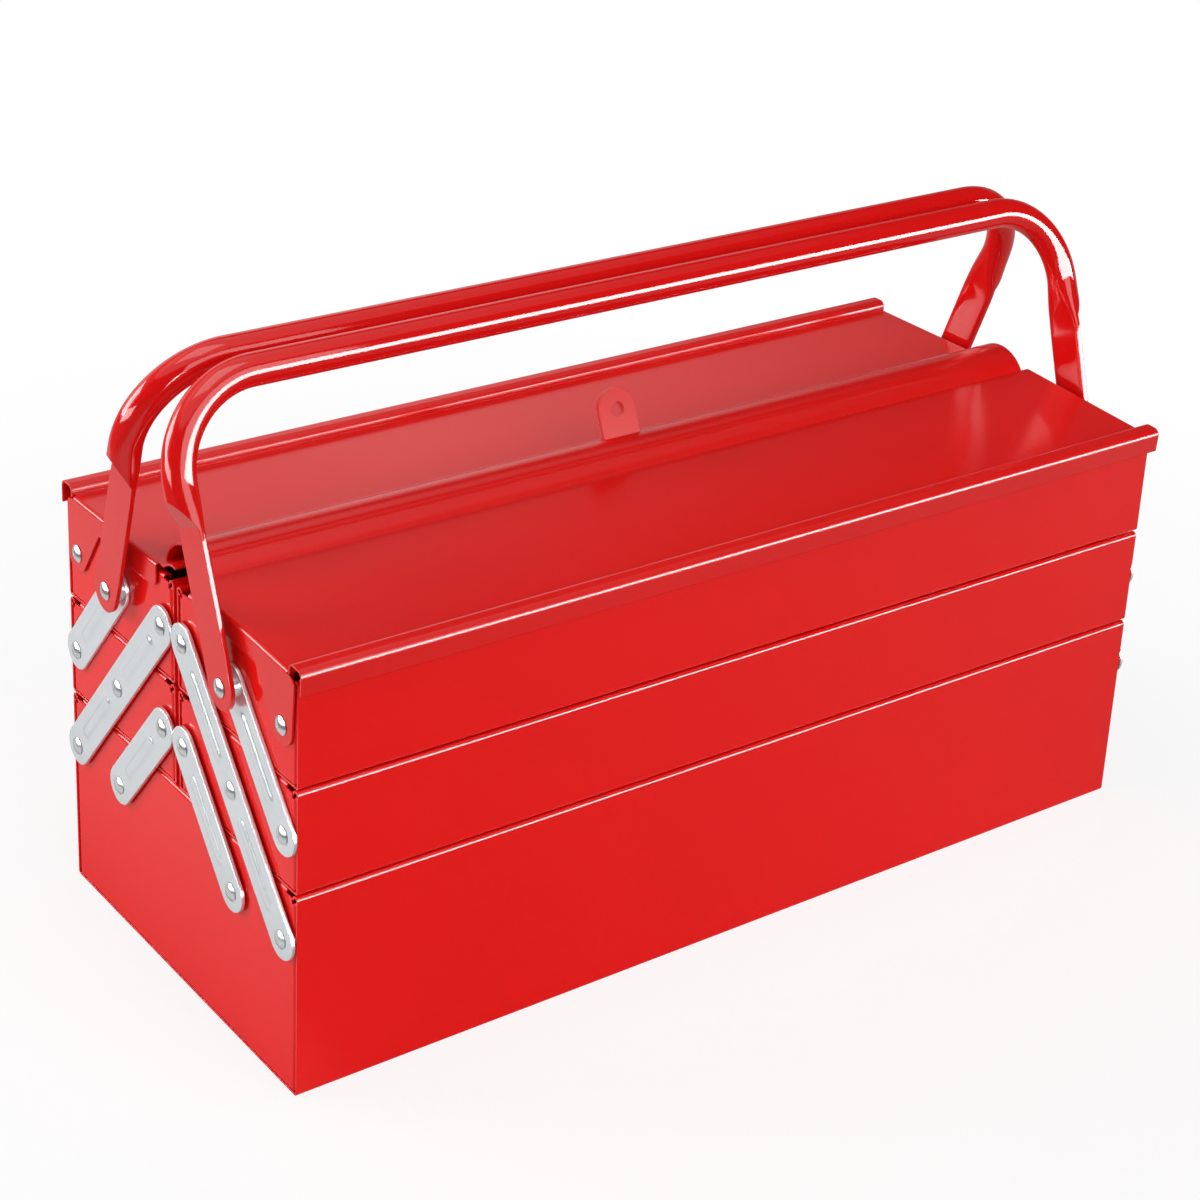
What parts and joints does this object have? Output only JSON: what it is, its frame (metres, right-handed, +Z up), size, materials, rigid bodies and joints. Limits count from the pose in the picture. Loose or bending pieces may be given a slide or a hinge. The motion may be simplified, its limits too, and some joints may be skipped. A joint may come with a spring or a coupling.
{
  "type": "cantilever tool box",
  "caption": "Long steel tool box with lidded upper trays over middle trays and a deep base, opened sideways by flat end links, with tubular carrying bows",
  "frame": {"origin": "centre of the rectangle that the base stands on, on the floor", "axes": "+X along the box to its right end, +Y to the rear, +Z up"},
  "size_m": [0.503, 0.2071, 0.2927],
  "materials": {
    "shell_paint": "gloss enamel on bent sheet",
    "end_paint": "gloss enamel on pressed sheet",
    "lid_paint": "gloss enamel on folded sheet",
    "hasp_paint": "gloss enamel on plate",
    "handle_paint": "gloss enamel on tube",
    "link_zinc": "zinc plated rolled strip",
    "rivet_zinc": "zinc plated, domed",
    "washer_zinc": "zinc plated"
  },
  "bodies": {
    "base": {"base_shell": "shell_paint", "base_end_left": "end_paint", "base_end_right": "end_paint", "base_rivets": "rivet_zinc", "base_washers": "washer_zinc"},
    "front_middle_tray": {"front_middle_shell": "shell_paint", "front_middle_end_left": "end_paint", "front_middle_end_right": "end_paint", "front_middle_rivets": "rivet_zinc", "front_middle_washers": "washer_zinc"},
    "front_upper_tray": {"front_upper_shell": "shell_paint", "front_upper_end_left": "end_paint", "front_upper_end_right": "end_paint", "front_upper_rivets": "rivet_zinc", "front_upper_washers": "washer_zinc"},
    "front_lid_body": {"front_lid": "lid_paint", "front_hasp": "hasp_paint"},
    "front_long_links": {"front_long_link_left": "link_zinc", "front_long_link_right": "link_zinc"},
    "front_short_links": {"front_short_link_left": "link_zinc", "front_short_link_right": "link_zinc"},
    "front_handle_links": {"front_handle_link_left": "link_zinc", "front_handle_link_right": "link_zinc"},
    "front_bow": {"front_handle": "handle_paint"},
    "rear_middle_tray": {"rear_middle_shell": "shell_paint", "rear_middle_end_left": "end_paint", "rear_middle_end_right": "end_paint", "rear_middle_rivets": "rivet_zinc", "rear_middle_washers": "washer_zinc"},
    "rear_upper_tray": {"rear_upper_shell": "shell_paint", "rear_upper_end_left": "end_paint", "rear_upper_end_right": "end_paint", "rear_upper_rivets": "rivet_zinc", "rear_upper_washers": "washer_zinc"},
    "rear_lid_body": {"rear_lid": "lid_paint", "rear_hasp": "hasp_paint"},
    "rear_long_links": {"rear_long_link_left": "link_zinc", "rear_long_link_right": "link_zinc"},
    "rear_short_links": {"rear_short_link_left": "link_zinc", "rear_short_link_right": "link_zinc"},
    "rear_handle_links": {"rear_handle_link_left": "link_zinc", "rear_handle_link_right": "link_zinc"},
    "rear_bow": {"rear_handle": "handle_paint"}
  },
  "joints": [
    {"name": "front_swing", "type": "hinge", "parent": "base", "child": "front_long_links", "pos_m": [0, -0.09115, 0.0727], "axis": [1, 0, 0], "range_deg": [0, 80]},
    {"name": "front_middle_level", "type": "hinge", "parent": "front_long_links", "child": "front_middle_tray", "pos_m": [0, -0.05025, 0.1212], "axis": [1, 0, 0], "range_deg": [-80, 0]},
    {"name": "front_upper_level", "type": "hinge", "parent": "front_long_links", "child": "front_upper_tray", "pos_m": [0, -0.00935, 0.1697], "axis": [1, 0, 0], "range_deg": [-80, 0]},
    {"name": "front_short_swing", "type": "hinge", "parent": "base", "child": "front_short_links", "pos_m": [0, -0.05025, 0.0727], "axis": [1, 0, 0], "range_deg": [0, 80]},
    {"name": "front_outer_swing", "type": "hinge", "parent": "front_middle_tray", "child": "front_handle_links", "pos_m": [0, -0.09115, 0.1212], "axis": [1, 0, 0], "range_deg": [0, 80]},
    {"name": "front_lid_hinge", "type": "hinge", "parent": "front_upper_tray", "child": "front_lid_body", "pos_m": [0, -0.089, 0.1697], "axis": [1, 0, 0], "range_deg": [0, 110]},
    {"name": "front_bow_hinge", "type": "hinge", "parent": "front_upper_tray", "child": "front_bow", "pos_m": [0, -0.05025, 0.1697], "axis": [1, 0, 0], "range_deg": [0, 150]},
    {"name": "rear_swing", "type": "hinge", "parent": "base", "child": "rear_long_links", "pos_m": [0, 0.09115, 0.0727], "axis": [-1, 0, 0], "range_deg": [0, 80]},
    {"name": "rear_middle_level", "type": "hinge", "parent": "rear_long_links", "child": "rear_middle_tray", "pos_m": [0, 0.05025, 0.1212], "axis": [-1, 0, 0], "range_deg": [-80, 0]},
    {"name": "rear_upper_level", "type": "hinge", "parent": "rear_long_links", "child": "rear_upper_tray", "pos_m": [0, 0.00935, 0.1697], "axis": [-1, 0, 0], "range_deg": [-80, 0]},
    {"name": "rear_short_swing", "type": "hinge", "parent": "base", "child": "rear_short_links", "pos_m": [0, 0.05025, 0.0727], "axis": [-1, 0, 0], "range_deg": [0, 80]},
    {"name": "rear_outer_swing", "type": "hinge", "parent": "rear_middle_tray", "child": "rear_handle_links", "pos_m": [0, 0.09115, 0.1212], "axis": [-1, 0, 0], "range_deg": [0, 80]},
    {"name": "rear_lid_hinge", "type": "hinge", "parent": "rear_upper_tray", "child": "rear_lid_body", "pos_m": [0, 0.089, 0.1697], "axis": [-1, 0, 0], "range_deg": [0, 110]},
    {"name": "rear_bow_hinge", "type": "hinge", "parent": "rear_upper_tray", "child": "rear_bow", "pos_m": [0, 0.05025, 0.1697], "axis": [-1, 0, 0], "range_deg": [0, 150]}
  ],
  "couplings": [
    {"joint": "front_middle_level", "follows": "front_swing", "ratio": -1},
    {"joint": "front_upper_level", "follows": "front_swing", "ratio": -1},
    {"joint": "front_short_swing", "follows": "front_swing", "ratio": 1},
    {"joint": "front_outer_swing", "follows": "front_swing", "ratio": 1},
    {"joint": "rear_middle_level", "follows": "rear_swing", "ratio": -1},
    {"joint": "rear_upper_level", "follows": "rear_swing", "ratio": -1},
    {"joint": "rear_short_swing", "follows": "rear_swing", "ratio": 1},
    {"joint": "rear_outer_swing", "follows": "rear_swing", "ratio": 1}
  ]
}
